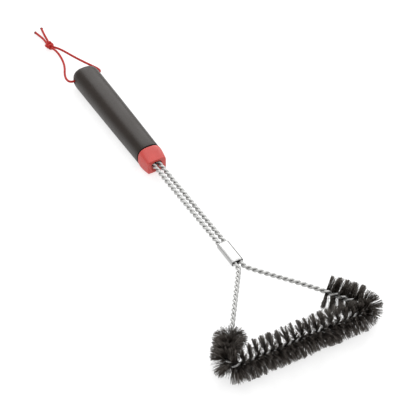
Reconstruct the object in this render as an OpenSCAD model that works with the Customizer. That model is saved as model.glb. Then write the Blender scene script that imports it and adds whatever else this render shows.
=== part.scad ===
// Long-handled grill cleaning brush with a three-sided bristle head.
// X is across the head, Y runs along the handle towards its butt, Z is up.
// The origin is under the middle of the brush, on the surface it lies on.

/* [Overall] */
// Length from the front bristle tips to the butt
length = 537.4; // [480:1:560]

/* [Handle] */
// Width of the handle at its butt
handle_w = 34; // [32:0.5:38]
// Height of the handle at its butt
handle_h = 29; // [27:0.5:32]
// Width of the handle at the collar
joint_w = 30; // [28:0.5:32]
// Height of the handle at the collar
joint_h = 27.4; // [26:0.1:28]
// Length of the handle moulding
handle_len = 169.9; // [165:0.1:180]
// Distance from the butt to the cross hole
hole_inset = 6.8; // [6:0.1:10]
// Radius of the cross hole
hole_r = 2.6; // [2.4:0.1:3]

/* [Collar] */
// Length of the red collar
collar_len = 20.2; // [18:0.1:24]
// Width of the shadow groove between handle and collar
groove = 1.2; // [0.8:0.1:1.6]

/* [Rope] */
// Radius of one wire
wire_r = 1.15; // [1:0.05:1.2]
// Distance from the rope's axis to each wire's axis
lay_r = 1.45; // [1.4:0.05:1.6]
// Length of one full twist of the bare rope
pitch = 15; // [12:0.5:18]
// Length of one full twist between the bristles
bristle_pitch = 18.4; // [15:0.2:20]
// Half the distance between the two ropes of the shaft
rope_x = 3.65; // [3.6:0.05:4]

/* [Head] */
// Half the straight length of the front bar
front_half = 76.8; // [60:0.2:82]
// Bend radius of the two front corners
corner_r = 8.4; // [8:0.2:16]
// Angle of each arm from the handle's line
arm_angle = 35; // [34:0.5:40]
// Bend radius where an arm leaves the shaft
shoulder_r = 10; // [8:0.5:14]
// Bristled length of each arm
side_len = 41; // [25:1:50]
// How much shorter the bristles of the left arm are
side_short = 8; // [0:1:15]
// Reach of the bristles from the rope's axis
bristle_r = 20.4; // [16:0.2:22]

/* [Sleeve] */
// Length of the crimped sleeve
sleeve_len = 33.7; // [28:0.1:40]
// Distance from the middle of the brush to the sleeve's front end
sleeve_front = 111.9; // [108:0.1:118]

/* [Hidden] */
$fn = 48;

charcoal = [0.33, 0.32, 0.33];
red = [0.79, 0.27, 0.25];
steel = [0.75, 0.76, 0.77];
dark_wire = [0.19, 0.17, 0.15];

butt_y = length / 2;
joint_y = butt_y - handle_len;
collar_back = joint_y - groove;
collar_front = collar_back - collar_len;
hole_y = butt_y - hole_inset;
hole_z = handle_h / 2;
front_y = bristle_r - butt_y;

// heights of the rope's axis: at the head, in the sleeve and in the collar
head_z = bristle_r;
sleeve_z = 16.2;
collar_z = 14;

// hidden seat of the rope ends inside the handle
neck_r = 11.4;
spigot_r = 7.95;
seat_r = 8;
seat_depth = 42;
core_r = 6.8;
core_depth = 140;
spigot_len = 22.5;
crimp_len = 17.2;
rope_end_y = joint_y + 46;
recess_r = 7;

// ---- rope path: s = 0 in the middle of the front bar, s < 0 on the left ----
turn = 90 + arm_angle;
s1 = front_half;
s2 = s1 + corner_r * turn * PI / 180;
p2 = [front_half + corner_r * sin(turn), front_y + corner_r * (1 - cos(turn))];
x3 = rope_x + shoulder_r * (1 - cos(arm_angle));
arm_len = (p2[0] - x3) / sin(arm_angle);
s3 = s2 + arm_len;
p3 = p2 + arm_len * [cos(turn), sin(turn)];
s4 = s3 + shoulder_r * arm_angle * PI / 180;
p4 = p3 + shoulder_r * [sin(turn) - 1, -cos(turn)];
s5 = s4 + rope_end_y - p4[1];

function half_heading(s) =
  s < s1 ? 0 :
  s < s2 ? (s - s1) / corner_r * 180 / PI :
  s < s3 ? turn :
  s < s4 ? turn - (s - s3) / shoulder_r * 180 / PI : 90;

function half_xy(s) = let (h = half_heading(s))
  s < s1 ? [s, front_y] :
  s < s2 ? [front_half + corner_r * sin(h), front_y + corner_r * (1 - cos(h))] :
  s < s3 ? p2 + (s - s2) * [cos(turn), sin(turn)] :
  s < s4 ? p3 + shoulder_r * [sin(turn) - sin(h), cos(h) - cos(turn)] :
  [rope_x, p4[1] + s - s4];

function ease(t) = t <= 0 ? 0 : t >= 1 ? 1 : t * t * (3 - 2 * t);

function rope_z(y) = y < -76
  ? head_z + (sleeve_z - head_z) * ease((y + 192) / 73)
  : sleeve_z + (collar_z - sleeve_z) * ease((y + 76) / 146);

function side(s) = s < 0 ? -1 : 1;
function axis_at(s) = let (q = half_xy(abs(s))) [side(s) * q[0], q[1], rope_z(q[1])];

// unit normal of the path, which points into the triangle of the head
function normal_at(s) = let (h = side(s) * half_heading(abs(s))) [-sin(h), cos(h), 0];
// the lay is opened a little where it holds bristles
function lay_angle(s) = let (b = s2 + side_len, a = abs(s))
  -360 * side(s) * (min(a, b) / bristle_pitch + max(a - b, 0) / pitch);
function polar(s, r, a) = axis_at(s) + r * cos(a) * normal_at(s) + [0, 0, r * sin(a)];

// ---- sweeps ----
function ring_faces(rings, n) = concat(
  [[for (k = [n - 1:-1:0]) k]],
  [for (i = [0:rings - 2]) for (k = [0:n - 1]) for (f = [0, 1])
    let (a = i * n + k, b = i * n + (k + 1) % n)
    f == 0 ? [a, b, b + n] : [a, b + n, a + n]],
  [[for (k = [0:n - 1]) (rings - 1) * n + k]]);

// one wire of the rope between two places on the path
module wire(from, to, phase) {
  steps = ceil((to - from) / (pitch / 8));
  sides = 6;
  points = [for (i = [0:steps]) for (k = [0:sides - 1])
    let (s = from + (to - from) * i / steps,
         a = lay_angle(s) + phase,
         b = k * 360 / sides)
    axis_at(s) + (lay_r * cos(a) + wire_r * cos(b)) * normal_at(s)
      + [0, 0, lay_r * sin(a) + wire_r * sin(b)]];
  color(steel) polyhedron(points, ring_faces(steps + 1, sides));
}

// reach of the bristles, cut short on the inside of a bend
function bend_room(s) = let (d = max(s1 - abs(s), abs(s) - s2, 0)) 0.6 * corner_r + 0.44 * d;
function reach(s, a) = cos(a) < 0.05 ? bristle_r : min(bristle_r, bend_room(s) / cos(a));

// rows of bristles: a thin double helicoid clamped between the two wires
module bristle_web(from, to) {
  steps = ceil((to - from) / (pitch / 12));
  spread = 5;
  waist = 0.06;
  points = [for (i = [0:steps]) for (k = [0:5])
    let (s = from + (to - from) * i / steps,
         a = lay_angle(s) + 90,
         b = a + [-spread, spread, 90, 180 - spread, 180 + spread, 270][k],
         r = k == 2 || k == 5 ? waist : reach(s, b))
    polar(s, r, b)];
  color(dark_wire) polyhedron(points, ring_faces(steps + 1, 6));
}

// ---- handle ----
// oval section of width w and height h with a flat foot, standing on Z = 0
function oval(w, h, foot = 0.8, n = 2.5) = [for (i = [0:63])
  let (t = i * 360 / 64, c = cos(t), s = sin(t), b = h / 2 + foot / 2)
  [w / 2 * sign(c) * pow(abs(c), 2 / n),
   max(b * sign(s) * pow(abs(s), 2 / n), foot - b) + b - foot]];

module slab(y, w, h, lift = 0, n = 2.5) {
  translate([0, y + 0.05, lift]) rotate([90, 0, 0])
    linear_extrude(0.1) polygon(oval(w, h, n = n));
}

module along_y(y, z, r, len, x = 0) {
  translate([x, y, z]) rotate([-90, 0, 0]) cylinder(r = r, h = len);
}

// two round channels side by side with the web between them cut away
module twin_channel(y, z, r, len) {
  for (x = [-rope_x, rope_x]) along_y(y, z, r, len, x);
  translate([-rope_x, y, z - r]) cube([2 * rope_x, len, 2 * r]);
}

module handle() {
  color(charcoal) difference() {
    union() {
      hull() {
        slab(joint_y + 0.05, joint_w, joint_h, n = 2.7);
        slab(butt_y - 80, handle_w - 0.4, handle_h - 0.1);
        slab(butt_y - 10, handle_w, handle_h);
        slab(butt_y - 4.5, handle_w * 0.96, handle_h * 0.95, handle_h * 0.022);
        slab(butt_y - 1.5, handle_w * 0.87, handle_h * 0.84, handle_h * 0.07);
        slab(butt_y - 0.05, handle_w * 0.7, handle_h * 0.66, handle_h * 0.16);
      }
      along_y(collar_back, joint_h / 2, neck_r, groove + 2);
    }
    along_y(collar_back - 1, collar_z, seat_r, seat_depth + 1);
    along_y(collar_back, collar_z, core_r, core_depth);
    translate([-handle_w, hole_y, hole_z]) rotate([0, 90, 0])
      cylinder(r = hole_r, h = 2 * handle_w);
    for (m = [-1, 1]) translate([m * handle_w / 2, hole_y, hole_z])
      rotate([0, m * 90, 0]) translate([0, 0, -1.4])
        cylinder(r1 = hole_r - 0.2, r2 = hole_r + 1.8, h = 2);
  }
}

// ---- collar ----
module collar() {
  color(red) difference() {
    union() {
      hull() {
        slab(collar_back - 0.05, joint_w, joint_h, n = 2.7);
        slab(collar_back - 3, joint_w - 0.2, joint_h - 0.2, 0, 2.9);
        slab(collar_front + 6, joint_w - 3, joint_h - 4.6, 1.4, 4);
        slab(collar_front + 0.05, joint_w - 5.2, joint_h - 8.8, 3.4, 5);
      }
      along_y(collar_back - 1, collar_z, spigot_r, spigot_len + 1);
    }
    twin_channel(collar_front - 1, collar_z, 2.9, collar_len + spigot_len + 2);
    along_y(collar_front - 1, collar_z - 1.8, recess_r, 3.2);
  }
}

// ---- crimps ----
module anchor_crimp() {
  y = collar_back + spigot_len + 0.3;
  color(steel) difference() {
    twin_channel(y, collar_z, 3.9, crimp_len);
    twin_channel(y - 1, collar_z, 2.75, crimp_len + 2);
  }
}

module sleeve() {
  w = 14.6;
  h = 7.3;
  r = 2.2;
  y = -sleeve_front;
  color(steel) difference() {
    union() {
      for (x = [r - w / 2, w / 2 - r]) for (z = [r - h / 2, h / 2 - r])
        along_y(y, sleeve_z + z, r, sleeve_len, x);
      translate([-w / 2, y, sleeve_z - h / 2 + r]) cube([w, sleeve_len, h - 2 * r]);
      translate([r - w / 2, y, sleeve_z - h / 2]) cube([w - 2 * r, sleeve_len, h]);
    }
    twin_channel(y - 1, sleeve_z, 2.8, sleeve_len + 2);
  }
}

// ---- hanging cord ----
cord_r = 1.3;
cord_hole = [[0, 261.9, 14.5], [5, 261.9, 14.5], [10, 261.9, 14.5], [15, 261.9, 14.5]];
left_leg = [[-18.1, 262, 14.5], [-20.4, 263.2, 14.2], [-21.9, 265.5, 13.8],
  [-22.5, 268.9, 13.3], [-22.2, 272.9, 12.7], [-21.1, 277.4, 12], [-19.4, 282.2, 11.4],
  [-17.3, 286.9, 10.8], [-15, 291.5, 10.2], [-12.8, 296.2, 9.5], [-10.9, 300.9, 8.9],
  [-9.3, 305.9, 8.3], [-8, 310.9, 7.8], [-6.9, 315.9, 7.3], [-6.1, 320.9, 6.8],
  [-5.5, 325.9, 6.3], [-5.1, 330.9, 5.8], [-5.1, 335.9, 5.3], [-5.6, 340.4, 4.9],
  [-6.5, 344.1, 4.7], [-7.6, 347.3, 4.6]];
right_leg = [[17.8, 262, 14.5], [19.8, 263.1, 14.4], [21, 265.1, 14.2],
  [21.2, 267.9, 13.9], [20.4, 271.9, 13.5], [18.9, 276.5, 13], [17.1, 281.4, 12.5],
  [15.4, 286.4, 11.9], [13.7, 291.4, 11.3], [12.1, 296.4, 10.7], [10.5, 301.4, 10.1],
  [9, 306.4, 9.5], [7.6, 311.4, 8.9], [6.2, 316.4, 8.4], [4.8, 321.4, 7.9],
  [3.4, 326.4, 7.4], [1.9, 331.4, 6.9], [0.2, 336.4, 6.2], [-1.8, 341.2, 5.5],
  [-4, 345.3, 4.9]];
left_tail = [[-8.3, 353.9, 4.4], [-8, 357.9, 4.1], [-7.7, 361.9, 3.8], [-7.5, 365.9, 3.5],
  [-7.6, 369.9, 3.1], [-8, 373.9, 2.8], [-8.5, 377.9, 2.4], [-9.1, 381.9, 2.2],
  [-9.8, 385.9, 1.9]];
right_tail = [[-6, 354.3, 4.5], [-5.2, 358.3, 4.2], [-4.5, 362.2, 3.9],
  [-3.8, 366.1, 3.6], [-3.2, 370, 3.2], [-2.6, 373.9, 2.9], [-1.9, 377.8, 2.5],
  [-1.2, 381.7, 2.3], [-0.4, 385.6, 2.1], [0.5, 389.4, 1.9]];
knot_at = [-7.4, 350.5, 5.2];

function flip_x(p) = [-p[0], p[1], p[2]];
left_route = concat([for (p = cord_hole) flip_x(p)], left_leg);
right_route = concat(cord_hole, right_leg);

function unit(v) = v / norm(v);

module tube(route) {
  sides = 8;
  last = len(route) - 1;
  points = [for (i = [0:last]) for (k = [0:sides - 1])
    let (t = unit(route[min(i + 1, last)] - route[max(i - 1, 0)]),
         u = unit(cross([0, 0, 1], t)),
         v = cross(t, u),
         a = k * 360 / sides)
    route[i] + cord_r * (cos(a) * u + sin(a) * v)];
  color(red) polyhedron(points, ring_faces(last + 1, sides));
}

module knot() {
  color(red) hull() for (d = [-1.6, 1.6])
    translate(knot_at + [-0.3 * d, d, 0]) sphere(r = 5, $fn = 20);
}

module tips() {
  color([0.3, 0.1, 0.08]) for (tail = [left_tail, right_tail])
    let (n = len(tail) - 1, t = unit(tail[n] - tail[n - 1]))
    translate(tail[n] + t * 0.9) sphere(r = 1.7, $fn = 16);
}

handle();
collar();
anchor_crimp();
sleeve();
wire(-s5, -s4, 0);  // shaft_left_a
wire(-s5, -s4, 180);  // shaft_left_b
wire(s4, s5, 0);  // shaft_right_a
wire(s4, s5, 180);  // shaft_right_b
wire(-s4, -s2, 0);  // arm_left_a
wire(-s4, -s2, 180);  // arm_left_b
wire(s2, s4, 0);  // arm_right_a
wire(s2, s4, 180);  // arm_right_b
wire(-s2, -s1, 0);  // corner_left_a
wire(-s2, -s1, 180);  // corner_left_b
wire(s1, s2, 0);  // corner_right_a
wire(s1, s2, 180);  // corner_right_b
wire(-s1, s1, 0);  // front_a
wire(-s1, s1, 180);  // front_b
bristle_web(-s2 - side_len + side_short, -s2);  // bristles_side_left
bristle_web(-s2, -s1);  // bristles_corner_left
bristle_web(-s1, s1);  // bristles_front
bristle_web(s1, s2);  // bristles_corner_right
bristle_web(s2, s2 + side_len);  // bristles_side_right
tube(left_route);  // cord_left
tube(right_route);  // cord_right
knot();  // cord_knot
tube(left_tail);  // cord_tail_left
tube(right_tail);  // cord_tail_right
tips();  // cord_tips
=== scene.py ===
"""Looks of a long-handled wire brush with a three-sided head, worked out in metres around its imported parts.

X is across the head, Y runs along the handle towards its butt, Z is up.
"""

import math

import bpy
import numpy as np
from bpy.props import FloatProperty, FloatVectorProperty, IntProperty, PointerProperty
from bpy.types import Operator, Panel, PropertyGroup
from mathutils import Matrix, Vector


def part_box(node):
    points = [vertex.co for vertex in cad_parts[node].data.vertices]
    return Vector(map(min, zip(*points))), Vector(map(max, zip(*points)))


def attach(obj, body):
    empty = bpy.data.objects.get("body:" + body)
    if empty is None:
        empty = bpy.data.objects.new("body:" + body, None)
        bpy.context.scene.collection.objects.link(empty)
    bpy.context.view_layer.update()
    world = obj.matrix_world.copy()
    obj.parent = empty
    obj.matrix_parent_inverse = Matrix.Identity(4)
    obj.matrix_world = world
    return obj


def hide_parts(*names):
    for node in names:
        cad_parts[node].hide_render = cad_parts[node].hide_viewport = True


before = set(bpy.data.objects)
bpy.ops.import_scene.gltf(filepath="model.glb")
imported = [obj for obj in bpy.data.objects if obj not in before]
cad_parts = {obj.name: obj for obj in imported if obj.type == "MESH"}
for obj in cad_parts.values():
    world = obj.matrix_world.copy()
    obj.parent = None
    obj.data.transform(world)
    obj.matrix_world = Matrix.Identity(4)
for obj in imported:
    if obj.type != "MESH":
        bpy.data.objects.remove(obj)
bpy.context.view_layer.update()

bl_info = {
    "name": "Grill cleaning brush",
    "version": (1, 0, 0),
    "blender": (4, 5, 0),
    "location": "View3D > Sidebar > Grill brush",
    "description": "Builds the handle, collar, wires, bristles and hanging cord of a grill cleaning brush",
    "category": "Add Mesh",
}

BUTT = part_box("handle")[1].y
SLEEVE_LOW, SLEEVE_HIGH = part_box("sleeve")
UP = np.array([0, 0, 1.0])
FOOT = 0.0008  # depth of the flat that the handle and the collar stand on
OVAL_SIDES = 112  # points round each ring of the handle and the collar


def length(name, description, default):
    """A size in metres."""
    return FloatProperty(name=name, description=description, default=default,
                         min=0.0, precision=4, subtype="DISTANCE", unit="LENGTH")


def colour(name, description, default):
    """A colour in linear red, green and blue."""
    return FloatVectorProperty(name=name, description=description, default=default,
                               size=3, min=0.0, max=1.0, subtype="COLOR")


class BrushSizes(PropertyGroup):
    """Sizes of the brush's own pieces."""

    handle_width: length("Handle width", "Width of the handle at its butt", 0.0340)
    handle_height: length("Handle height", "Height of the handle at its butt", 0.0290)
    joint_width: length("Joint width", "Width of the handle where the collar sits", 0.0300)
    joint_height: length("Joint height", "Height of the handle where the collar sits", 0.0274)
    handle_length: length("Handle length", "Length of the handle moulding", 0.1699)
    hole_inset: length("Hole inset", "Distance from the butt to the cross hole", 0.0068)
    hole_radius: length("Hole radius", "Radius of the cross hole for the cord", 0.0026)
    collar_length: length("Collar length", "Length of the red collar", 0.0202)
    groove: length("Groove", "Width of the shadow groove between handle and collar", 0.0012)
    wire_radius: length("Wire radius", "Radius of one wire", 0.00150)
    lay_radius: length("Lay radius", "Distance from the rope's axis to a wire's axis", 0.00150)
    pitch: length("Bare pitch", "Length of one full twist of the bare rope", 0.0150)
    bristle_pitch: length("Bristle pitch", "Length of one full twist between the bristles", 0.0184)
    rope_offset: length("Rope offset", "Half the distance between the two ropes of the shaft", 0.00365)
    front_half: length("Front half", "Half the straight length of the front bar", 0.0768)
    corner_radius: length("Corner radius", "Bend radius of the two front corners", 0.0084)
    arm_angle: FloatProperty(name="Arm angle", description="Angle of each arm from the handle's line",
                             default=math.radians(35), subtype="ANGLE", unit="ROTATION")
    shoulder_radius: length("Shoulder radius", "Bend radius where an arm leaves the shaft", 0.0100)
    side_length: length("Bristled side", "Bristled length of the right arm", 0.0410)
    side_short: length("Left side shorter", "How much shorter the bristles of the left arm are", 0.0080)
    bristle_reach: length("Bristle reach", "Reach of the bristles from the rope's axis", 0.0204)
    bristle_radius: length("Bristle radius", "Radius of one bristle", 0.00025)
    bristle_density: FloatProperty(name="Bristle density", default=2.8, min=0.5, max=6.0,
                                   description="Bristles to a millimetre of the fans' outer edge")
    bristle_seed: IntProperty(name="Bristle seed", description="Seed of the bristles' irregularities", default=7)
    cord_diameter: length("Cord diameter", "Diameter of the hanging cord", 0.0028)


class BrushColours(PropertyGroup):
    """Colours of the brush's finishes."""

    handle: colour("Handle", "Matte charcoal moulding", (0.0175, 0.0118, 0.0085))
    collar: colour("Collar", "Red moulding", (0.50, 0.034, 0.025))
    steel: colour("Sleeve steel", "Pressed bright steel", (0.47, 0.47, 0.465))
    wire: colour("Wire", "Drawn bright wire", (0.55, 0.55, 0.54))
    bristle: colour("Bristles", "Dark fine wire", (0.034, 0.026, 0.020))
    cord: colour("Cord", "Red braid", (0.50, 0.024, 0.019))
    tip: colour("Melted tips", "Melted end of the braid", (0.16, 0.020, 0.016))
    floor: colour("Floor", "Pale floor", (0.34, 0.34, 0.34))


# ---- meshes

def volume(points, faces):
    """Six times the signed volume under faces of three or four corners: the sum of the corners' triple products."""
    a, b, c, d = (points[faces[:, i]] for i in (0, 1, 2, -1))
    return np.einsum("ij,ij->i", a, np.cross(b, c)).sum() + np.einsum("ij,ij->i", a, np.cross(c, d)).sum()


def outward(points, *batches):
    """A part from points and batches of (faces, UV or none, material index), turned round if it is inside out."""
    if sum(volume(points, faces) for faces, _, _ in batches) < 0:
        batches = [(f[:, ::-1], t if t is None else t[:, ::-1], m) for f, t, m in batches]
    return points, list(batches)


def grid_faces(rows, columns, ring=False):
    """Quads of a grid whose columns close on themselves, and whose rows do as well if it is a ring."""
    i = np.arange(rows if ring else rows - 1)[:, None]
    k = np.arange(columns)[None, :]
    j, n = (i + 1) % rows, (k + 1) % columns
    return np.stack([i * columns + k, i * columns + n, j * columns + n, j * columns + k], -1).reshape(-1, 4)


def grid_uv(rows, columns, along, ring=False):
    """UV of each quad's corners: the way round as U, and the distance along in metres as V."""
    far = np.append(along, 2 * along[-1] - along[-2])
    i, k = np.meshgrid(np.arange(rows if ring else rows - 1), np.arange(columns), indexing="ij")
    corners = ((k, i), (k + 1, i), (k + 1, i + 1), (k, i + 1))
    return np.stack([np.stack([a / columns, far[b]], -1) for a, b in corners], 2).reshape(-1, 4, 2)


def put_mesh(name, parts, body, materials, sharp=None):
    """Puts parts, each (points, [(faces, UV or none, material index), ...]), into one piece that rides on a body."""
    points, faces, loops_uv, index, base = [], [], [], [], 0
    for p, batches in parts:
        points.append(p)
        for f, t, slot in batches:
            faces.append(f + base)
            loops_uv.append(np.zeros(f.shape + (2,)) if t is None else t)
            index.append(np.broadcast_to(slot, len(f)))
        base += len(p)
    co = np.concatenate(points)
    sizes = np.concatenate([np.full(len(f), f.shape[1]) for f in faces])
    corners = np.concatenate([f.ravel() for f in faces])
    mesh = bpy.data.meshes.new(name)
    mesh.vertices.add(len(co))
    mesh.vertices.foreach_set("co", co.astype(np.float32).ravel())
    mesh.loops.add(len(corners))
    mesh.loops.foreach_set("vertex_index", corners.astype(np.int32))
    mesh.polygons.add(len(sizes))
    mesh.polygons.foreach_set("loop_start", (np.cumsum(sizes) - sizes).astype(np.int32))
    mesh.update(calc_edges=True)
    layer = mesh.uv_layers.new(name="surface")
    layer.data.foreach_set("uv", np.concatenate([t.reshape(-1, 2) for t in loops_uv]).astype(np.float32).ravel())
    for m in materials:
        mesh.materials.append(m)
    mesh.polygons.foreach_set("material_index", np.concatenate(index).astype(np.int32))
    mesh.polygons.foreach_set("use_smooth", np.ones(len(sizes), bool))
    if mesh.validate(verbose=False):
        raise RuntimeError(f"{name}: the mesh had broken faces")
    if sharp is not None:
        mesh.set_sharp_from_angle(angle=math.radians(sharp))
    piece = bpy.data.objects.new(name, mesh)
    bpy.context.scene.collection.objects.link(piece)
    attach(piece, body)
    return piece


def closed_tube(rings, along):
    """A part from a stack of rings, closed at both ends with a fan round the end ring's middle."""
    rows, columns = rings.shape[:2]
    points = np.concatenate([rings.reshape(-1, 3), rings[:1].mean(1), rings[-1:].mean(1)])
    k = np.arange(columns)
    n = (k + 1) % columns
    first, last, top = rows * columns, rows * columns + 1, (rows - 1) * columns
    low = np.stack([n, k, np.full(columns, first)], -1)
    high = np.stack([top + k, top + n, np.full(columns, last)], -1)
    return outward(points, (grid_faces(rows, columns), grid_uv(rows, columns, along), 0),
                   (np.concatenate([low, high]), None, 0))


def closed_ring(rings, along):
    """A part from a stack of rings whose last ring joins the first."""
    size = rings.shape[:2]
    return outward(rings.reshape(-1, 3), (grid_faces(*size, ring=True), grid_uv(*size, along, ring=True), 0))


def unit(v):
    """Each row scaled to length one."""
    return v / np.linalg.norm(v, axis=-1, keepdims=True)


def smooth_path(points, spacing):
    """Points an even distance apart on the curve through the given points: a Catmull-Rom cubic between each pair,
    whose slope at a point is half the step from the point before to the point after."""
    p = np.asarray(points, float)
    ends = np.concatenate([2 * p[:1] - p[1:2], p, 2 * p[-1:] - p[-2:-1]])
    t = np.linspace(0, 1, 24, endpoint=False)[None, :, None]
    a, b, c, d = (ends[i:len(ends) - 3 + i, None] for i in range(4))
    fine = 0.5 * (2 * b + (c - a) * t + (2 * a - 5 * b + 4 * c - d) * t ** 2 + (3 * b - a - 3 * c + d) * t ** 3)
    fine = np.concatenate([fine.reshape(-1, 3), p[-1:]])
    run = np.concatenate([[0], np.cumsum(np.linalg.norm(np.diff(fine, axis=0), axis=1))])
    even = np.linspace(0, run[-1], max(4, int(round(run[-1] / spacing))) + 1)
    return np.stack([np.interp(even, run, fine[:, i]) for i in range(3)], -1), even


def circles(centres, radius, u, v, count):
    """A circle of so many points round each centre: radius times cosine along u and sine along v."""
    a = (np.arange(count) * 2 * np.pi / count)[None, :, None]
    return centres[:, None] + radius * (np.cos(a) * u[:, None] + np.sin(a) * v[:, None])


def tube_rings(path, radius, sides):
    """A circle of the given radius round each point of a path, square to the path's direction there."""
    along = unit(np.gradient(path, axis=0))
    u = unit(np.cross(UP, along))
    return circles(path, radius, u, np.cross(along, u), sides)


def oval(width, height, power, foot, count):
    """A superellipse of each width, height and power, with a flat foot, standing on Z = 0: x is half the width
    times the cosine to 2 over the power, z half the height times the sine to the same, cut level at the foot."""
    t = (np.arange(count) + 0.5)[None, :] * 2 * np.pi / count
    c, s = np.cos(t), np.sin(t)
    w, h, n, f = (np.asarray(a, float)[:, None] for a in (width, height, power, foot))
    b = h / 2 + f / 2
    x = w / 2 * np.sign(c) * np.abs(c) ** (2 / n)
    z = np.maximum(b * np.sign(s) * np.abs(s) ** (2 / n), f - b) + b - f
    return x, z


def loft(stations, count):
    """Rings of ovals carried along Y. Each station is (y, width, height, lift, power, foot)."""
    st = np.asarray(stations, float)
    x, z = oval(st[:, 1], st[:, 2], st[:, 4], st[:, 5], count)
    y = np.broadcast_to(st[:, :1], x.shape)
    return np.stack([x, y, z + st[:, 3:4]], -1)


# ---- rope path

class RopePath:
    """The wire rope's axis from the middle of the front bar (distance 0) round a corner, up an arm and into the
    shaft. Negative distances are the mirrored left side."""

    def __init__(self, sizes):
        z = self.z = sizes
        self.turn = math.pi / 2 + z.arm_angle
        self.front = z.bristle_reach - BUTT
        self.s1 = z.front_half
        self.s2 = self.s1 + z.corner_radius * self.turn
        self.p2 = np.array([z.front_half + z.corner_radius * math.sin(self.turn),
                            self.front + z.corner_radius * (1 - math.cos(self.turn))])
        x3 = z.rope_offset + z.shoulder_radius * (1 - math.cos(z.arm_angle))
        self.arm = (self.p2[0] - x3) / math.sin(z.arm_angle)
        self.s3 = self.s2 + self.arm
        self.p3 = self.p2 + self.arm * np.array([math.cos(self.turn), math.sin(self.turn)])
        self.s4 = self.s3 + z.shoulder_radius * z.arm_angle
        self.p4 = self.p3 + z.shoulder_radius * np.array([math.sin(self.turn) - 1, -math.cos(self.turn)])
        self.s5 = self.s4 + BUTT - z.handle_length + 0.030 - self.p4[1]
        self.bristled = self.s2 + z.side_length

    def heading(self, s):
        """Direction of the path: level along the front, turning evenly in each bend, constant along the arm."""
        a, z = np.abs(s), self.z
        h = np.select([a < self.s1, a < self.s2, a < self.s3, a < self.s4],
                      [0 * a, (a - self.s1) / z.corner_radius, self.turn + 0 * a,
                       self.turn - (a - self.s3) / z.shoulder_radius], math.pi / 2)
        return np.where(s < 0, -h, h)

    def axis(self, s):
        """Points of the path: straight lines and circular arcs in plan, with the height eased between head, sleeve
        and collar."""
        a, z, t = np.abs(s), self.z, self.turn
        h = np.abs(self.heading(s))
        r, q = z.corner_radius, z.shoulder_radius
        where = [a < self.s1, a < self.s2, a < self.s3, a < self.s4]
        x = np.select(where, [a, z.front_half + r * np.sin(h), self.p2[0] + (a - self.s2) * math.cos(t),
                              self.p3[0] + q * (math.sin(t) - np.sin(h))], z.rope_offset)
        y = np.select(where, [self.front + 0 * a, self.front + r * (1 - np.cos(h)),
                              self.p2[1] + (a - self.s2) * math.sin(t),
                              self.p3[1] + q * (np.cos(h) - math.cos(t))], self.p4[1] + a - self.s4)
        return np.stack([np.where(s < 0, -x, x), y, self.height(y)], -1)

    def height(self, y):
        """Height of the axis: two smooth steps, 3t² - 2t³, from the head down to the sleeve and on to the collar."""
        ease = lambda t: np.clip(t, 0, 1) ** 2 * (3 - 2 * np.clip(t, 0, 1))
        head, sleeve, collar = self.z.bristle_reach, 0.0162, 0.0140
        return np.where(y < -0.076, head + (sleeve - head) * ease((y + 0.192) / 0.073),
                        sleeve + (collar - sleeve) * ease((y + 0.076) / 0.146))

    def inward(self, s):
        """Unit normal of the path that points into the head's triangle."""
        h = self.heading(s)
        return np.stack([-np.sin(h), np.cos(h), 0 * h], -1)

    def lay(self, s):
        """Angle of the left-handed lay, which is opened a little where it holds bristles."""
        a = np.abs(s)
        turns = (np.minimum(a, self.bristled) / self.z.bristle_pitch
                 + np.maximum(a - self.bristled, 0) / self.z.pitch)
        return -2 * np.pi * np.where(s < 0, -turns, turns)

    def room(self, s):
        """Reach that the inside of a bend leaves, growing away from the bend."""
        a = np.abs(s)
        return 0.6 * self.z.corner_radius + 0.44 * np.maximum(np.maximum(self.s1 - a, a - self.s2), 0)


# ---- shader groups

def put(tree, value, socket):
    """Sets a socket to a value, or links it to another node's output."""
    if hasattr(value, "is_output"):
        tree.links.new(value, socket)
    else:
        socket.default_value = value


def node(tree, kind, inputs=(), **properties):
    """A node with its inputs set or linked, each as (name or number, value), and its properties set."""
    n = tree.nodes.new(kind)
    for key, value in properties.items():
        setattr(n, key, value)
    for key, value in inputs:
        put(tree, value, n.inputs[key])
    return n


def math_node(tree, operation, a, b=None, clamp=False):
    inputs = [(0, a)] if b is None else [(0, a), (1, b)]
    return node(tree, "ShaderNodeMath", inputs, operation=operation, use_clamp=clamp).outputs[0]


def mix_colour(tree, factor, a, b):
    return node(tree, "ShaderNodeMix", ((0, factor), (6, a), (7, b)), data_type="RGBA").outputs[2]


def noise(tree, vector, scale, detail=3.0, roughness=0.55):
    return node(tree, "ShaderNodeTexNoise", (("Vector", vector), ("Scale", scale), ("Detail", detail),
                                             ("Roughness", roughness))).outputs["Fac"]


def span(tree, value, low, high, to_low, to_high):
    """A value mapped from one range to another, and held inside it."""
    return node(tree, "ShaderNodeMapRange", (("Value", value), ("From Min", low), ("From Max", high),
                                             ("To Min", to_low), ("To Max", to_high)), clamp=True).outputs["Result"]


def stretched(tree, vector, by):
    return node(tree, "ShaderNodeVectorMath", ((0, vector), (1, by)), operation="MULTIPLY").outputs[0]


def toned(tree, tint, value):
    """A colour made lighter or darker by a factor."""
    return node(tree, "ShaderNodeHueSaturation", (("Color", tint), ("Value", value))).outputs[0]


def split(tree, vector):
    return node(tree, "ShaderNodeSeparateXYZ", ((0, vector),)).outputs


def new_group(name, inputs, outputs):
    """An empty shader group, whose sockets are given as name and type."""
    g = bpy.data.node_groups.new(name, "ShaderNodeTree")
    for way, sockets in (("INPUT", inputs), ("OUTPUT", outputs)):
        for title, kind in sockets.items():
            g.interface.new_socket(name=title.replace("_", " "), in_out=way, socket_type=kind)
    return g, g.nodes.new("NodeGroupInput").outputs, g.nodes.new("NodeGroupOutput").inputs


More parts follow.
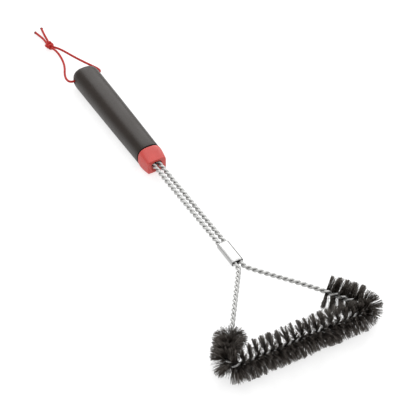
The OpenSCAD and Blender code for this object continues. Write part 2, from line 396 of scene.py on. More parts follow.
FLOAT, COLOUR, VECTOR = "NodeSocketFloat", "NodeSocketColor", "NodeSocketVector"
FINISH = dict(Colour=COLOUR, Roughness=FLOAT, Height=FLOAT)


def moulded_grain():
    """Moulded plastic: a fine spark-eroded grain, slow mottling of the colour, and pale scuffs in patches."""
    g, i, o = new_group("moulded_grain", dict(Vector=VECTOR, Colour=COLOUR, Scuff_colour=COLOUR, Scuffs=FLOAT,
                                              Grain_scale=FLOAT, Roughness=FLOAT), FINISH)
    grain = noise(g, i["Vector"], i["Grain scale"], 2.0, 0.6)
    mottle = noise(g, i["Vector"], 45.0, 4.0, 0.6)
    patch = span(g, noise(g, i["Vector"], 22.0, 2.0), 0.52, 0.72, 0.0, 1.0)
    stretch = stretched(g, i["Vector"], (900.0, 110.0, 900.0))
    scratch = span(g, noise(g, stretch, 1.0, 2.0, 0.7), 0.60, 0.74, 0.0, 1.0)
    scuff = math_node(g, "MULTIPLY", math_node(g, "MULTIPLY", patch, scratch), i["Scuffs"], clamp=True)
    tone = toned(g, i["Colour"], span(g, mottle, 0.3, 0.7, 0.90, 1.10))
    put(g, mix_colour(g, scuff, tone, i["Scuff colour"]), o["Colour"])
    rough = math_node(g, "ADD", i["Roughness"], span(g, mottle, 0.3, 0.7, -0.05, 0.05))
    put(g, math_node(g, "ADD", rough, math_node(g, "MULTIPLY", scuff, 0.15), clamp=True), o["Roughness"])
    put(g, math_node(g, "SUBTRACT", grain, math_node(g, "MULTIPLY", scuff, 0.5)), o["Height"])
    return g


def drawn_steel():
    """Bright steel: streaks along the way it was drawn or rolled, slow dulling, and fine specks of tarnish."""
    g, i, o = new_group("drawn_steel", dict(Vector=VECTOR, Colour=COLOUR, Streaks=VECTOR, Tarnish=FLOAT,
                                            Roughness=FLOAT), FINISH)
    stretch = stretched(g, i["Vector"], i["Streaks"])
    streak = noise(g, stretch, 1.0, 3.0, 0.65)
    speck = span(g, noise(g, stretch, 0.45, 4.0, 0.7), 0.55, 0.75, 0.0, 1.0)
    dull = math_node(g, "MULTIPLY", speck, i["Tarnish"], clamp=True)
    tone = toned(g, i["Colour"], span(g, streak, 0.3, 0.7, 0.88, 1.10))
    put(g, mix_colour(g, dull, tone, (0.16, 0.15, 0.14, 1)), o["Colour"])
    rough = math_node(g, "ADD", i["Roughness"], span(g, streak, 0.3, 0.7, -0.06, 0.08))
    put(g, math_node(g, "ADD", rough, math_node(g, "MULTIPLY", dull, 0.2), clamp=True), o["Roughness"])
    put(g, streak, o["Height"])
    return g


def braid_weave():
    """A round braid: strands run both ways round the cord, and each crosses over and under the others in turn.
    The height is the larger of two slanted waves, and its Dip mask, which sets the painted shade in the weave's
    dips, is strongest where the strands dip."""
    g, i, o = new_group("braid_weave", dict(UV=VECTOR, Strands=FLOAT, Pitch=FLOAT), dict(Height=FLOAT, Dip=FLOAT))
    u, v, _ = split(g, i["UV"])
    round_it = math_node(g, "MULTIPLY", u, i["Strands"])
    along = math_node(g, "DIVIDE", v, i["Pitch"])
    along = math_node(g, "MULTIPLY", along, i["Strands"])
    one = math_node(g, "MULTIPLY", math_node(g, "ADD", round_it, along), 2 * math.pi)
    two = math_node(g, "MULTIPLY", math_node(g, "SUBTRACT", round_it, along), 2 * math.pi)
    rise = math_node(g, "MAXIMUM", math_node(g, "SINE", one), math_node(g, "SINE", two))
    put(g, rise, o["Height"])
    put(g, span(g, rise, -0.2, 0.7, 1.0, 0.0), o["Dip"])
    return g


def group_node(tree, maker, **values):
    """The outputs of a shader group, which is made the first time it is asked for."""
    n = node(tree, "ShaderNodeGroup", node_tree=bpy.data.node_groups.get(maker.__name__) or maker())
    for key, value in values.items():
        put(tree, value, n.inputs[key.replace("_", " ")])
    return n.outputs


def surface(name, metallic=0.0, coordinates="Object"):
    """A new material with a Principled shader and the coordinates that its pattern follows."""
    m = bpy.data.materials.new(name)
    m.use_nodes = True
    tree = m.node_tree
    shader = tree.nodes["Principled BSDF"]
    shader.inputs["Metallic"].default_value = metallic
    place = node(tree, "ShaderNodeTexCoord")
    return m, tree, shader, place.outputs[coordinates]


def bump(tree, shader, height, strength, distance):
    n = node(tree, "ShaderNodeBump", (("Strength", strength), ("Distance", distance), ("Height", height)))
    put(tree, n.outputs[0], shader.inputs["Normal"])


def moulded(name, tint, scuff, scuffs, roughness, grain, specular=0.5):
    m, tree, shader, place = surface(name)
    out = group_node(tree, moulded_grain, Vector=place, Colour=(*tint, 1),
                     Scuff_colour=(*scuff, 1), Scuffs=scuffs, Grain_scale=grain, Roughness=roughness)
    put(tree, out["Colour"], shader.inputs["Base Color"])
    put(tree, out["Roughness"], shader.inputs["Roughness"])
    shader.inputs["Specular IOR Level"].default_value = specular
    bump(tree, shader, out["Height"], 0.35, 0.00006)
    return m


def lit_floor(name, tint):
    """A matte floor that is lit from below like a light table, so that it is pale and shadows on it stay faint."""
    m = moulded(name, tint, tuple(0.98 * v for v in tint), 0.0, 0.85, 400.0, 0.1)
    shader = m.node_tree.nodes["Principled BSDF"]
    shader.inputs["Emission Color"].default_value = (1, 1, 1, 1)
    shader.inputs["Emission Strength"].default_value = 0.73
    return m


def steel(name, tint, streaks, tarnish, roughness, coordinates="Object"):
    """Bright steel. On a wire, U is half way round where it meets the other wire, and painted shade darkens it
    there, in the groove between the two wires.
    """
    m, tree, shader, place = surface(name, 1.0, coordinates)
    out = group_node(tree, drawn_steel, Vector=place, Colour=(*tint, 1),
                     Streaks=streaks, Tarnish=tarnish, Roughness=roughness)
    tone = out["Colour"]
    if coordinates == "UV":
        # Painted shade: the wire's colour is darkened towards the side that meets the other wire, where the rope's
        # groove lies in shade.
        from_shaded_groove = math_node(tree, "ABSOLUTE", math_node(tree, "SUBTRACT", split(tree, place)[0], 0.5))
        tone = mix_colour(tree, span(tree, from_shaded_groove, 0.14, 0.25, 0.45, 0.0), tone, (0.24, 0.235, 0.23, 1))
    put(tree, tone, shader.inputs["Base Color"])
    put(tree, out["Roughness"], shader.inputs["Roughness"])
    bump(tree, shader, out["Height"], 0.25, 0.00003)
    return m


def bristle_finish(name, tint):
    """Dark fine wire: each bristle has its own shade from its U, and it is paler towards its end."""
    m, tree, shader, uv = surface(name, 0.55, "UV")
    u, v, _ = split(tree, uv)
    own = node(tree, "ShaderNodeTexWhiteNoise", noise_dimensions="1D")
    put(tree, u, own.inputs["W"])
    pale = span(tree, own.outputs["Value"], 0.76, 1.0, 0.0, 0.95)
    paler_end = span(tree, v, 0.70, 1.0, 0.0, 0.30)
    base = mix_colour(tree, pale, (*tint, 1), (0.26, 0.235, 0.21, 1))
    put(tree, mix_colour(tree, paler_end, base, (0.17, 0.155, 0.14, 1)), shader.inputs["Base Color"])
    put(tree, span(tree, own.outputs["Value"], 0.0, 1.0, 0.55, 0.34), shader.inputs["Roughness"])
    return m


def braid_finish(name, tint):
    """Red braid: the weave's dips get painted shade and are rougher, and the dye varies slowly along the cord."""
    m, tree, shader, uv = surface(name, 0.0, "UV")
    weave = group_node(tree, braid_weave, UV=uv, Strands=4.0, Pitch=0.0075)
    dye = noise(tree, uv, 90.0, 3.0)
    # Painted shade: the weave's dips are darkened towards a third of the cord's colour.
    dark = tuple(c * 0.35 for c in tint)
    base = mix_colour(tree, math_node(tree, "MULTIPLY", weave["Dip"], 0.75), (*tint, 1), (*dark, 1))
    put(tree, toned(tree, base, span(tree, dye, 0.3, 0.7, 0.88, 1.12)), shader.inputs["Base Color"])
    put(tree, span(tree, weave["Dip"], 0.0, 1.0, 0.62, 0.85), shader.inputs["Roughness"])
    shader.inputs["Specular IOR Level"].default_value = 0.25
    shader.inputs["Sheen Weight"].default_value = 0.06
    shader.inputs["Sheen Roughness"].default_value = 0.4
    bump(tree, shader, weave["Height"], 0.6, 0.00025)
    return m


def finish(name):
    """The named finish in the colours that are set, made the first time it is asked for."""
    c = bpy.context.scene.brush_colours
    maker, *values = {
        "charcoal_moulding": (moulded, c.handle, (0.06, 0.057, 0.055), 0.25, 0.36, 2400.0, 0.29),
        "red_moulding": (moulded, c.collar, (0.62, 0.14, 0.11), 0.30, 0.42, 3000.0, 0.75),
        # A near-black finish that paints shade into recesses: the handle's neck groove, its cross hole, and the
        # collar's throat and back face.
        "painted_shade_recess": (moulded, (0.012, 0.010, 0.010), (0.03, 0.02, 0.02), 0.2, 0.8, 2000.0, 0.1),
        "pressed_steel": (steel, c.steel, (900.0, 60.0, 900.0), 0.10, 0.34),
        "dull_steel": (steel, tuple(0.45 * v for v in c.steel), (900.0, 60.0, 900.0), 0.5, 0.5),
        "drawn_wire": (steel, c.wire, (7.0, 60.0, 1.0), 0.30, 0.50, "UV"),
        "dark_bristle": (bristle_finish, c.bristle),
        "red_braid": (braid_finish, c.cord),
        "melted_tip": (moulded, c.tip, (0.05, 0.012, 0.01), 1.0, 0.42, 1500.0),
        "pale_floor": (lit_floor, c.floor),
    }[name]
    return bpy.data.materials.get(name) or maker(name, *values)


# ---- hanging cord

# The routes are in millimetres, from the middle of the cross hole outwards.
HOLE_Y, HOLE_Z = 0.2619, 0.0145
CORD_HOLE = [(0, 261.9, 14.5), (5, 261.9, 14.5), (10, 261.9, 14.5), (15, 261.9, 14.5)]
LEFT_LEG = [(-18.1, 262, 14.5), (-20.4, 263.2, 14.2), (-21.9, 265.5, 13.8), (-22.5, 268.9, 13.3),
            (-22.2, 272.9, 12.7), (-21.1, 277.4, 12), (-19.4, 282.2, 11.4), (-17.3, 286.9, 10.8), (-15, 291.5, 10.2),
            (-12.8, 296.2, 9.5), (-10.9, 300.9, 8.9), (-9.3, 305.9, 8.3), (-8, 310.9, 7.8), (-6.9, 315.9, 7.3),
            (-6.1, 320.9, 6.8), (-5.5, 325.9, 6.3), (-5.1, 330.9, 5.8), (-5.1, 335.9, 5.3), (-5.6, 340.4, 4.9),
            (-6.5, 344.1, 4.7), (-7.6, 347.3, 4.6)]
RIGHT_LEG = [(17.8, 262, 14.5), (19.8, 263.1, 14.4), (21, 265.1, 14.2), (21.2, 267.9, 13.9), (20.4, 271.9, 13.5),
             (18.9, 276.5, 13), (17.1, 281.4, 12.5), (15.4, 286.4, 11.9), (13.7, 291.4, 11.3), (12.1, 296.4, 10.7),
             (10.5, 301.4, 10.1), (9, 306.4, 9.5), (7.6, 311.4, 8.9), (6.2, 316.4, 8.4), (4.8, 321.4, 7.9),
             (3.4, 326.4, 7.4), (1.9, 331.4, 6.9), (0.2, 336.4, 6.2), (-1.8, 341.2, 5.5), (-4, 345.3, 4.9)]
LEFT_TAIL = [(-8.3, 353.9, 4.4), (-8, 357.9, 4.1), (-7.7, 361.9, 3.8), (-7.5, 365.9, 3.5), (-7.6, 369.9, 3.1),
             (-8, 373.9, 2.8), (-8.5, 377.9, 2.4), (-9.1, 381.9, 2.2), (-9.8, 385.9, 1.9)]
RIGHT_TAIL = [(-6, 354.3, 4.5), (-5.2, 358.3, 4.2), (-4.5, 362.2, 3.9), (-3.8, 366.1, 3.6), (-3.2, 370, 3.2),
              (-2.6, 373.9, 2.9), (-1.9, 377.8, 2.5), (-1.2, 381.7, 2.3), (-0.4, 385.6, 2.1), (0.5, 389.4, 1.9)]
KNOT_AT = np.array([-7.4, 350.5, 5.2]) / 1000


def cord_piece(name, route, diameter, node_name):
    """A round tube along a route given in millimetres."""
    path, run = smooth_path(np.array(route, float) / 1000, 0.0011)
    piece = put_mesh(name, [closed_tube(tube_rings(path, diameter / 2, 16), run)], "loop", [finish("red_braid")])
    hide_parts(node_name)
    return piece, path


def knot_strand(tilt, squash, size, radius, turn):
    """One closed strand of the knot: a trefoil, (sin t + 2 sin 2t, cos t - 2 cos 2t, -sin 3t), pressed flat and
    turned."""
    t = np.linspace(0, 2 * np.pi, 144, endpoint=False)
    p = np.stack([np.sin(t) + 2 * np.sin(2 * t), np.cos(t) - 2 * np.cos(2 * t), -squash * np.sin(3 * t)], -1) * size
    c, s = math.cos(turn), math.sin(turn)
    p = p @ np.array([[c, s, 0], [-s, c, 0], [0, 0, 1]])
    c, s = math.cos(tilt), math.sin(tilt)
    p = p @ np.array([[1, 0, 0], [0, c, s], [0, -s, c]]) * np.array([0.97, 1.14, 1.0]) + KNOT_AT
    along = unit(np.roll(p, -1, 0) - np.roll(p, 1, 0))
    u = unit(np.cross(along, unit(p - KNOT_AT + 1e-6)))
    run = np.linspace(0, np.linalg.norm(np.roll(p, -1, 0) - p, axis=1).sum(), len(t))
    return closed_ring(circles(p, radius, u, np.cross(along, u), 14), run)


def melted_bead(end, direction, size, seed):
    """A bead on a cut end: a ball whose radius swells and dips with two slow waves."""
    u, v = np.meshgrid(np.arange(20) * 2 * np.pi / 20, np.linspace(0.12, np.pi - 0.12, 12))
    r = size * (1 + 0.10 * np.sin(2 * u + seed) * np.sin(v) + 0.08 * np.cos(3 * v + seed))
    side = unit(np.cross(direction, UP))
    up = np.cross(side, direction)
    rings = end + r[..., None] * (np.sin(v)[..., None] * (np.cos(u)[..., None] * side + np.sin(u)[..., None] * up)
                                  + 1.05 * np.cos(v)[..., None] * direction)
    rings[..., 2] = np.maximum(rings[..., 2], 0.00008)
    return closed_tube(rings, np.linspace(0, size, 12))


class BRUSH_OT_cord(Operator):
    """Builds the hanging cord: two legs from the cross hole, an overhand knot, two tails and their melted tips"""

    bl_idname = "brush.cord"
    bl_label = "Hanging cord"

    def execute(self, context):
        z = context.scene.brush_sizes
        d = z.cord_diameter
        flip = [(-x, y, z) for x, y, z in CORD_HOLE]
        left, left_path = cord_piece("cord_leg_left", flip + LEFT_LEG, d, "cord_left")
        right, right_path = cord_piece("cord_leg_right", CORD_HOLE + RIGHT_LEG, d, "cord_right")
        tail_l, tail_l_path = cord_piece("cord_end_left", LEFT_TAIL, d, "cord_tail_left")
        tail_r, tail_r_path = cord_piece("cord_end_right", RIGHT_TAIL, d, "cord_tail_right")
        strands = [knot_strand(0.35, 0.90, 0.00148, 0.00158, 0.3), knot_strand(-0.40, 0.95, 0.00134, 0.00156, 1.25)]
        knot = put_mesh("overhand_knot", strands, "loop", [finish("red_braid")])
        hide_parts("cord_knot")
        beads = [melted_bead(p[-1] + 0.0009 * unit(p[-1] - p[-2]), unit(p[-1] - p[-2]), 0.00165, k)
                 for p, k in ((tail_l_path, 0.4), (tail_r_path, 2.1))]
        tips = put_mesh("melted_tips", beads, "loop", [finish("melted_tip")])
        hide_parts("cord_tips")
        return {"FINISHED"}


# ---- wires and bristles

class BRUSH_OT_wires(Operator):
    """Builds the two wires, which are laid together left-handed from the handle round the head and back"""

    bl_idname = "brush.wires"
    bl_label = "Twisted wires"

    def execute(self, context):
        z = context.scene.brush_sizes
        path = RopePath(z)
        rings_a_turn = 24
        s = np.linspace(-path.s5, path.s5, int(2 * path.s5 / z.pitch * rings_a_turn))
        for phase, letter in ((0.0, "a"), (math.pi, "b")):
            angle = path.lay(s) + phase
            out = np.cos(angle)[:, None] * path.inward(s) + np.sin(angle)[:, None] * UP
            centre = path.axis(s) + z.lay_radius * out
            along = unit(np.gradient(centre, axis=0))
            u = unit(out - (out * along).sum(1)[:, None] * along)
            rings = circles(centre, z.wire_radius, u, np.cross(along, u), 12)
            piece = put_mesh("twisted_wire_" + letter, [closed_tube(rings, s)], "brush", [finish("drawn_wire")])
            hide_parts(*[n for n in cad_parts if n.endswith("_" + letter)])
        return {"FINISHED"}


def bristle_part(path, sizes, start, stop, rng, crowd, squeeze, spread):
    """Bristles between two distances on the rope's path: three-sided prisms of two lengths, a quarter turn from the
    wires. Each tip leans by a small normal amount along and round the rope, most of it shared with its clump. The
    length is the fans' reach, less at the inside of a bend, the floor and the end on an arm. Where the fans are
    squeezed into tufts, an angle d from their line becomes atan2(squeeze * sin d, cos d), and the tips gather
    along the rope towards the tuft's middle. The spread is the scatter round the rope in degrees."""
    z = sizes
    clump_length, clump_pull = 0.0009, 0.55
    fan_line, rise, lower_scatter = math.radians(121), 0.28, 3.2
    gathered, gather_shift = 0.75, 0.0022
    stray_share, stray_angle, stray_lean = 0.10, math.radians(14), 0.0022
    fine, clump_lean, clump_twist = 0.0006, 0.0009, 0.0011

    normal = lambda size: rng.normal(0, size, count)
    edge = 2 * math.hypot(2 * math.pi * z.bristle_reach, z.bristle_pitch) / z.bristle_pitch
    count = int((stop - start) * edge * z.bristle_density * crowd * 1000)
    s = rng.uniform(start, stop, count)
    side = rng.integers(0, 2, count)
    stray = rng.random(count) < stray_share
    jitter = math.radians(spread) * normal(1) + np.where(stray, normal(stray_angle), 0)
    cell = np.floor((s - start) / clump_length)
    own, middle = path.lay(s), path.lay(start + (cell + 0.5) * clump_length)
    d = own + clump_pull * (middle - own) + math.pi / 2 + side * math.pi - fan_line
    angle = fan_line + np.arctan2(squeeze * np.sin(d), np.cos(d))
    angle = (angle + rise * (squeeze < 1) * np.sin(angle)
             + jitter * (1 + lower_scatter * np.clip(-np.sin(angle), 0, 1)))
    turn = (path.lay(s + 1e-4) - own) / 1e-4
    from_line = np.mod(d + math.pi / 2, math.pi) - math.pi / 2
    gather = np.where(squeeze < 1, -gathered * from_line / turn - gather_shift, 0.0)
    gather = np.clip(gather, start - s, stop - s)
    clump = cell.astype(int) * 2 + side
    clumps = rng.normal(0, 1, (3, clump.max() + 1))[:, clump]

    centre, inward, h = path.axis(s), path.inward(s), path.heading(s)
    along = np.stack([np.cos(h), np.sin(h), 0 * h], -1)
    radial = np.cos(angle)[:, None] * inward + np.sin(angle)[:, None] * UP
    around = -np.sin(angle)[:, None] * inward + np.cos(angle)[:, None] * UP
    ragged = np.abs(normal(0.07 + 0.004 * spread)) - 0.04 * clumps[0]
    reach = z.bristle_reach * (1.03 - np.clip(ragged, 0.0, 0.30))
    bare = start if abs(start) > abs(stop) else stop
    if abs(bare) > path.s2 + 1e-6:
        reach = reach * (1 - 0.16 * np.exp(-np.abs(s - bare) / 0.0022))
    c = np.cos(angle)
    inner = path.room(s) / np.maximum(c, 0.05) * rng.uniform(0.9, 1.05, count)
    reach = np.where(c > 0.05, np.minimum(reach, inner), reach)
    lean = normal(fine) + clump_lean * clumps[1] + np.where(stray, normal(stray_lean), 0) + gather
    twist = normal(fine) + clump_twist * clumps[2]
    bow = normal(0.0005)
    foot = centre + 0.0004 * radial
    tip = centre + reach[:, None] * radial + lean[:, None] * along + twist[:, None] * around
    middle = 0.5 * (foot + tip) + bow[:, None] * around + (0.12 * lean)[:, None] * along
    tip[:, 2] = np.maximum(tip[:, 2], 0.00025)
    middle[:, 2] = np.maximum(middle[:, 2], 0.0004)

    ring = circles(np.zeros_like(foot), z.bristle_radius, along, around, 3)
    points = np.stack([foot[:, None] + ring, middle[:, None] + ring, tip[:, None] + 0.8 * ring], 1).reshape(-1, 3)
    first = (np.arange(count) * 9)[:, None]
    i, j = np.array([0, 3]).repeat(3), np.tile(np.arange(3), 2)
    quad = np.stack([i + j, i + (j + 1) % 3, i + 3 + (j + 1) % 3, i + 3 + j], -1)
    quads = (first[:, None] + quad[None]).reshape(-1, 4)
    tris = (first[:, None] + np.array([[0, 2, 1], [6, 7, 8]])[None]).reshape(-1, 3)
    shade = np.arange(count) / count
    low = np.tile(np.repeat([0.0, 0.5], 3), count)[:, None]
    v = np.concatenate([low, low, low + 0.5, low + 0.5], 1)
    uv = np.stack([np.repeat(np.repeat(shade, 6)[:, None], 4, 1), v], -1)
    tri_uv = np.stack([np.repeat(np.repeat(shade, 2)[:, None], 3, 1),
                       np.tile(np.array([0.0, 1.0])[:, None], (count, 3))], -1)
    return outward(points, (quads, uv, 0), (tris, tri_uv, 0))


class BRUSH_OT_bristles(Operator):
    """Builds the bristles of the front bar, the two corners and the two sides"""

    bl_idname = "brush.bristles"
    bl_label = "Bristles"

    def execute(self, context):
        z = context.scene.brush_sizes
        path = RopePath(z)
        rng = np.random.default_rng(z.bristle_seed)
        for name, start, stop, crowd, squeeze, spread in (
                ("side_left", z.side_short - path.bristled, -path.s2, 1.15, 1.0, 15.0),
                ("corner_left", -path.s2, -path.s1, 1.4, 1.0, 11.0),
                ("front", -path.s1, path.s1, 1.05, 1.0, 2.2),
                ("corner_right", path.s1, path.s2, 1.3, 1.0, 9.0),
                ("side_right", path.s2, path.bristled, 0.9, 0.18, 5.5)):
            part = bristle_part(path, z, start, stop, rng, crowd, squeeze, spread)
            piece = put_mesh("wire_bristles_" + name, [part], "brush", [finish("dark_bristle")])
            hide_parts("bristles_" + name)
        return {"FINISHED"}


# ---- handle, collar, sleeve

def lathe_x(profile, count, centre):
    """A shape turned about a line along X: each (x, radius) becomes a circle."""
    p = np.asarray(profile, float)
    a = np.arange(count) * 2 * np.pi / count
    x = np.broadcast_to(p[:, :1], (len(p), count))
    return np.stack([x, centre[0] + p[:, 1:] * np.cos(a), centre[1] + p[:, 1:] * np.sin(a)], -1)


def cut_away(piece, cutter):
    """Takes the cutter's solid out of the piece and deletes the cutter."""
    cut = piece.modifiers.new("cross hole", "BOOLEAN")
    cut.operation, cut.solver, cut.object = "DIFFERENCE", "EXACT", cutter
    bpy.context.view_layer.update()
    result = bpy.data.meshes.new_from_object(piece.evaluated_get(bpy.context.evaluated_depsgraph_get()))
    piece.modifiers.clear()
    old, piece.data = piece.data, result
    result.name = piece.name
    bpy.data.meshes.remove(old)
    bpy.data.objects.remove(cutter)


class BRUSH_OT_handle(Operator):
    """Builds the handle: an oval moulding with a domed butt, a cross hole with eased mouths and a neck, whose groove
    and hole are painted near black as shade
    """

    bl_idname = "brush.handle"
    bl_label = "Handle"

    def execute(self, context):
        z = context.scene.brush_sizes
        w, h, jw, jh = z.handle_width, z.handle_height, z.joint_width, z.joint_height
        joint = BUTT - z.handle_length
        neck, dome_depth, shrunk = 0.0114, 0.011, 0.30
        lift, thick = jh / 2 - neck, 2 * neck
        rows = [(joint - z.groove, thick, thick, lift, 2.0, 0.0),
                (joint - 0.0002, thick, thick, lift, 2.0, 0.0),
                (joint - 0.00002, thick + 0.0004, thick + 0.0004, lift - 0.0002, 2.05, 0.0),
                (joint, jw - 0.0016, jh - 0.0016, 0.0008, 2.6, FOOT),
                (joint + 0.0003, jw - 0.0007, jh - 0.0007, 0.00035, 2.7, FOOT),
                (joint + 0.0006, jw - 0.0002, jh - 0.0002, 0.0001, 2.7, FOOT),
                (joint + 0.0012, jw, jh, 0.0, 2.7, FOOT)]
        t = np.linspace(0.0, 1.0, 26)[1:]
        swell = 1 - (1 - t) ** 1.6
        body = [(joint + (z.handle_length - dome_depth) * a, jw + (w - jw) * b, jh + (h - jh) * b, 0.0,
                 2.7 - 0.2 * b, FOOT) for a, b in zip(t, swell)]
        q = np.linspace(0, 1, 22)[1:] * math.pi / 2
        dome = []
        for a in q:
            reach, keep = math.sin(a), math.cos(a)
            shrink = shrunk * (1 - keep ** 0.85) if a < q[-1] else shrunk
            dome.append((BUTT - dome_depth + dome_depth * reach ** 0.92, w * (1 - shrink), h * (1 - shrink * 1.08),
                         h * shrink * 1.08 * 0.45, 2.5, FOOT * keep))
        face = [(BUTT, w * 0.7 * k, h * 0.676 * k, h * 0.146 + h * 0.676 * (1 - k) / 2, 2.3, 0.0)
                for k in (0.82, 0.5, 0.2)]
        rings = loft(rows + body + dome + face, OVAL_SIDES)
        points, ((quads, uv, _), (tris, _, _)) = closed_tube(rings, rings[:, 0, 1] - joint)
        neck_rings = 5
        # Painted shade: the neck's first rings take the near-black recess finish, for the shade in the groove
        # between handle and collar.
        painted_neck_shade = (quads < neck_rings * OVAL_SIDES).all(1).astype(int)
        finishes = [finish("charcoal_moulding"), finish("painted_shade_recess")]
        piece = put_mesh("handle_moulding", [(points, [(quads, uv, painted_neck_shade), (tris, None, 0)])], "brush", finishes)
        r, half = z.hole_radius, w / 2
        flare = [(half + 0.004, r + 0.0060), (half - 0.0002, r + 0.0017), (half - 0.0010, r + 0.0006),
                 (half - 0.0018, r + 0.0001), (half - 0.0030, r)]
        profile = flare + [(-x, rad) for x, rad in flare[::-1]]
        points, batches = closed_tube(lathe_x(profile, 40, (BUTT - z.hole_inset, HOLE_Z)), np.arange(10.0))
        # Painted shade: the cutter's faces carry the near-black recess finish, which the cut leaves on the inside of
        # the cross hole.
        cutter = put_mesh("hole_cutter", [(points, [(f, t, 1) for f, t, _ in batches])], "brush", finishes)
        cut_away(piece, cutter)
        piece.data.set_sharp_from_angle(angle=math.radians(38))
        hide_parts("handle")
        return {"FINISHED"}


class BRUSH_OT_collar(Operator):
    """Builds the collar: oval at the handle, four broad facets at its front, and a mouth round the ropes, whose deep
    throat and back face are painted near black as shade
    """

    bl_idname = "brush.collar"
    bl_label = "Collar"

    def execute(self, context):
        z = context.scene.brush_sizes
        back = BUTT - z.handle_length - z.groove
        front = back - z.collar_length
        jw, jh = z.joint_width, z.joint_height
        fw, fh, fl = jw - 0.0052, jh - 0.0088, 0.0034
        start = [(back, jw * 0.6, jh * 0.6, jh * 0.2, 2.6, 0.0),
                 (back, jw - 0.0012, jh - 0.0012, 0.0006, 2.7, FOOT),
                 (back - 0.0003, jw - 0.0004, jh - 0.0004, 0.0002, 2.7, FOOT),
                 (back - 0.0006, jw, jh, 0.0, 2.7, FOOT)]
        body = [(back - 0.0006 + (front + 0.0005 - back + 0.0006) * a, jw + (fw - jw) * a ** 1.25,
                 jh + (fh - jh) * a ** 1.15, fl * a ** 1.3, 2.7 + 3.6 * a ** 0.8, FOOT)
                for a in np.linspace(0, 1, 16)[1:]]
        edge = [(front + 0.00018, fw - 0.0003, fh - 0.0003, fl + 0.00015, 6.3, FOOT),
                (front, fw - 0.0010, fh - 0.0010, fl + 0.0005, 6.3, FOOT),
                (front, fw - 0.0030, fh - 0.0022, fl + 0.0011, 5.0, FOOT)]
        mouth = [(front + 0.0001, 0.0146, 0.0142, 0.0050, 3.2, 0.0),
                 (front + 0.0006, 0.0140, 0.0136, 0.0053, 3.2, 0.0),
                 (front + 0.0022, 0.0134, 0.0104, 0.0080, 3.4, 0.0),
                 (front + 0.0040, 0.0137, 0.0065, 0.01075, 3.6, 0.0),
                 (front + 0.0045, 0.0136, 0.0064, 0.0108, 3.6, 0.0),
                 (front + 0.0120, 0.0134, 0.0062, 0.0109, 3.6, 0.0)]
        rings = loft(start + body + edge + mouth, OVAL_SIDES)
        points, ((quads, uv, _), (tris, _, _)) = closed_tube(rings, rings[:, 0, 1])
        # Painted shade: the deep throat round the ropes, its end cap and the back face against the handle take the
        # near-black recess finish.
        throat = (len(start) + len(body) + len(edge) + 3) * OVAL_SIDES
        throat_end = len(rings) * OVAL_SIDES + 1
        dark = ((quads >= throat).all(1) | (quads < 3 * OVAL_SIDES).all(1)).astype(int)
        painted_throat_shade_end = (tris == throat_end).any(1).astype(int)
        piece = put_mesh("collar_moulding", [(points, [(quads, uv, dark), (tris, None, painted_throat_shade_end)])], "brush",
                         [finish("red_moulding"), finish("painted_shade_recess")], sharp=32)
        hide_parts("collar")
        return {"FINISHED"}


class BRUSH_OT_sleeve(Operator):
    """Builds the pressed sleeve, open at both ends and duller at its rims and one bend, and finishes the crimp"""

    bl_idname = "brush.sleeve"
    bl_label = "Sleeve and crimp"

    def execute(self, context):
        low, high = SLEEVE_LOW, SLEEVE_HIGH
        y0, y1 = low.y, high.y
        w, h = high.x - low.x, high.z - low.z
        wall = 0.0006
        iw, ih = w - 2 * wall, h - 2 * wall
        rows = [(y0 + 0.0004, w, h, 0.0), (y0 + 0.0040, w, h, 0.0),
                (y1 - 0.0040, w, h, 0.0), (y1 - 0.0008, w, h, 0.0),
                (y1 - 0.0001, w - 0.0003, h - 0.0003, 0.00015), (y1, w - 0.0008, h - 0.0008, 0.0004),
                (y1, iw + 0.0004, ih + 0.0004, wall - 0.0002), (y1 - 0.0003, iw, ih, wall),
                (y1 - 0.0040, iw, ih, wall), (y0 + 0.0040, iw, ih, wall), (y0 + 0.0003, iw, ih, wall),
                (y0, iw + 0.0004, ih + 0.0004, wall - 0.0002), (y0, w - 0.0008, h - 0.0008, 0.0004),
                (y0 + 0.0001, w - 0.0003, h - 0.0003, 0.00015)]
        rings = loft([(y, a, b, c + low.z, 4.4, 0.0) for y, a, b, c in rows], 72)
        points, ((quads, uv, _),) = closed_ring(rings, rings[:, 0, 1])
        middle = points[quads].mean(1)
        bend = (middle[:, 0] > w / 2 - 0.0020) & (middle[:, 2] > high.z - 0.0016)
        rim = (middle[:, 1] < y0 + 0.0004) | (middle[:, 1] > y1 - 0.0008)
        piece = put_mesh("pressed_sleeve", [(points, [(quads, uv, (bend | rim).astype(int))])], "brush",
                         [finish("pressed_steel"), finish("dull_steel")], sharp=35)
        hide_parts("sleeve")
        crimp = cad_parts["anchor_crimp"]
        crimp.data.materials.clear()
        crimp.data.materials.append(finish("pressed_steel"))
        return {"FINISHED"}


# ---- stage

def area_light(name, at, towards, size, power):
    lamp = bpy.data.lights.new(name, "AREA")
    lamp.shape, lamp.size, lamp.size_y = "RECTANGLE", size[0], size[1]
    lamp.energy, lamp.spread = power, math.radians(150)
    light = bpy.data.objects.new(name, lamp)
    bpy.context.scene.collection.objects.link(light)
    light.location = at
    light.rotation_euler = (Vector(towards) - Vector(at)).to_track_quat("-Z", "Y").to_euler()
    return light


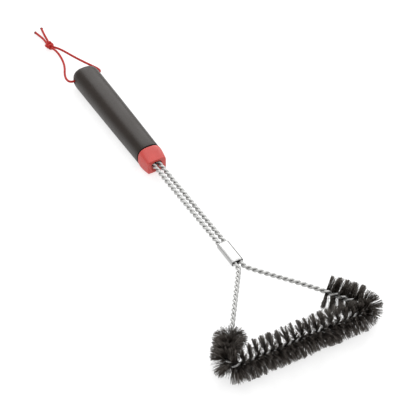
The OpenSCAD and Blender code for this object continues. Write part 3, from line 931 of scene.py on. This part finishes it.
class BRUSH_OT_stage(Operator):
    """Builds the pale floor, the soft studio lights and the camera"""

    bl_idname = "brush.stage"
    bl_label = "Stage"

    def execute(self, context):
        lines, half_width, below = 33, 4.0, -0.0001
        u, v = np.meshgrid(np.linspace(-1, 1, lines), np.linspace(-1, 1, lines))
        grow = lambda t: half_width * np.sign(t) * np.abs(t) ** 1.5
        points = np.stack([grow(u), grow(v), np.full_like(u, below)], -1).reshape(-1, 3)
        corner = np.arange(lines - 1)[:, None] * lines + np.arange(lines - 1)
        quads = corner.reshape(-1, 1) + np.array([0, 1, lines + 1, lines])
        mesh = bpy.data.meshes.new("floor")
        mesh.from_pydata(points.tolist(), [], quads.tolist())
        mesh.materials.append(finish("pale_floor"))
        floor = bpy.data.objects.new("floor", mesh)
        context.scene.collection.objects.link(floor)

        world = bpy.data.worlds.new("studio")
        world.use_nodes = True
        sky = world.node_tree.nodes["Background"].inputs
        sky["Color"].default_value, sky["Strength"].default_value = (1, 1, 1, 1), 0.78
        context.scene.world = world
        area_light("back_softbox", (1.05, 1.50, 1.35), (0.0, 0.05, 0.0), (2.4, 1.6), 22.0)
        area_light("overhead", (-0.1, -0.2, 1.9), (0.0, 0.0, 0.0), (2.0, 2.0), 8.0)

        view = context.scene.view_settings
        view.view_transform, view.look, view.exposure, view.gamma = "Standard", "None", 0.0, 1.0

        az, el, roll = (math.radians(a) for a in (-30.409, 43.708, 0.987))
        back = Vector((math.sin(az) * math.cos(el), -math.cos(az) * math.cos(el), math.sin(el)))
        right = (-back).cross(Vector((0, 0, 1))).normalized()
        up = right.cross(-back)
        r = math.cos(roll) * right + math.sin(roll) * up
        t = -math.sin(roll) * right + math.cos(roll) * up
        aim, distance, focal_length = Vector((0.023587, -0.003863, 0.0)), 2.244, 165.97635577
        at = aim + distance * back
        lens = bpy.data.cameras.new("camera")
        lens.sensor_width, lens.lens = 36.0, focal_length
        lens.clip_start, lens.clip_end = 0.05, 50.0
        camera = bpy.data.objects.new("camera", lens)
        context.scene.collection.objects.link(camera)
        camera.matrix_world = Matrix.Translation(at) @ Matrix((r, t, back)).transposed().to_4x4()
        context.scene.camera = camera
        return {"FINISHED"}


class BRUSH_PT_panel(Panel):
    """Sizes, colours and pieces of the brush"""

    bl_label = "Grill cleaning brush"
    bl_idname = "BRUSH_PT_panel"
    bl_space_type = "VIEW_3D"
    bl_region_type = "UI"
    bl_category = "Grill brush"

    def draw(self, context):
        for group in (context.scene.brush_sizes, context.scene.brush_colours):
            column = self.layout.column(align=True)
            for key in group.bl_rna.properties.keys():
                if key not in ("rna_type", "name"):
                    column.prop(group, key)
        for operator in OPERATORS:
            column.operator(operator.bl_idname)


OPERATORS = (BRUSH_OT_stage, BRUSH_OT_cord, BRUSH_OT_wires, BRUSH_OT_bristles, BRUSH_OT_handle,
             BRUSH_OT_collar, BRUSH_OT_sleeve)
CLASSES = (BrushSizes, BrushColours, *OPERATORS, BRUSH_PT_panel)


def register():
    for c in CLASSES:
        bpy.utils.register_class(c)
    bpy.types.Scene.brush_sizes = PointerProperty(type=BrushSizes)
    bpy.types.Scene.brush_colours = PointerProperty(type=BrushColours)


def unregister():
    del bpy.types.Scene.brush_colours
    del bpy.types.Scene.brush_sizes
    for c in reversed(CLASSES):
        bpy.utils.unregister_class(c)


def main():
    register()
    bpy.ops.brush.stage()
    bpy.ops.brush.cord()
    bpy.ops.brush.wires()
    bpy.ops.brush.bristles()
    bpy.ops.brush.handle()
    bpy.ops.brush.collar()
    bpy.ops.brush.sleeve()


if __name__ == "__main__":
    main()
